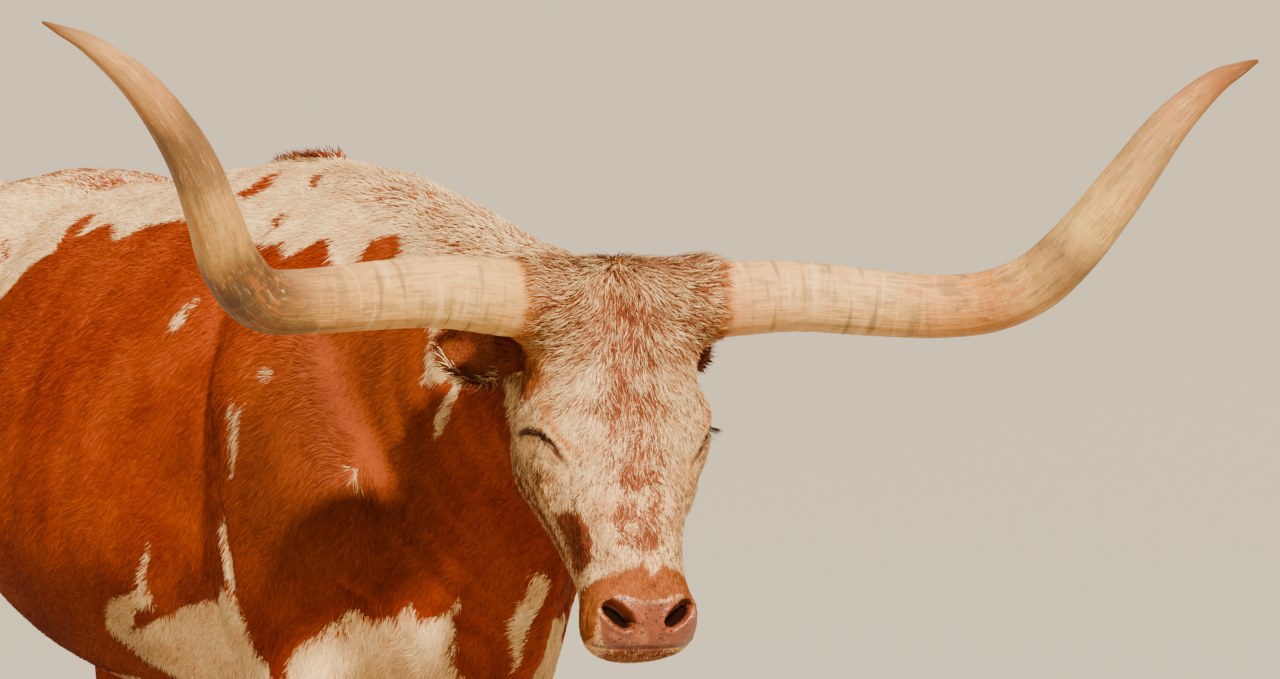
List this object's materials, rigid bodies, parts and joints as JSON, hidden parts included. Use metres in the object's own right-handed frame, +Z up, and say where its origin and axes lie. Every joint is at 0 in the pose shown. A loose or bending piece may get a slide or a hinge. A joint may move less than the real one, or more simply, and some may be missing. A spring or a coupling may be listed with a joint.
{
  "type": "texas longhorn steer",
  "caption": "Life-size still model of a standing Texas longhorn steer, red and white roan, with long horns that sweep out and up, short coat and cloven hooves.",
  "frame": {"origin": "on the floor, at the middle of the animal's outline seen from above", "axes": "+Z up, the body faces -Y, the animal's left side is at +X"},
  "size_m": [1.478, 2.4034, 1.5097],
  "materials": {
    "coat_red": "short red hair with white roan patches",
    "coat_face": "cream hair flecked with red, pink wet nose",
    "tail_hair": "long coarse hair",
    "horn": "fibrous horn with a dull sheen",
    "hoof": "dark ringed hoof",
    "eye": "wet dark brown eye"
  },
  "bodies": {
    "root": {"dewclaw_foreleg_right_outer": "hoof", "dewclaw_foreleg_right_inner": "hoof", "foreleg_right": "coat_red", "hoof_foreleg_right": "hoof", "dewclaw_foreleg_left_inner": "hoof", "dewclaw_foreleg_left_outer": "hoof", "foreleg_left": "coat_red", "hoof_foreleg_left": "hoof", "dewclaw_hindleg_right_outer": "hoof", "dewclaw_hindleg_right_inner": "hoof", "hindleg_right": "coat_red", "hoof_hindleg_right": "hoof", "dewclaw_hindleg_left_inner": "hoof", "dewclaw_hindleg_left_outer": "hoof", "hindleg_left": "coat_red", "hoof_hindleg_left": "hoof", "horn_right": "horn", "ear_right": "coat_red", "eye_right": "eye", "horn_left": "horn", "ear_left": "coat_red", "eye_left": "eye", "head": "coat_face", "neck": "coat_red", "torso": "coat_red", "tail": "coat_red", "tail_switch": "tail_hair"}
  },
  "joints": []
}
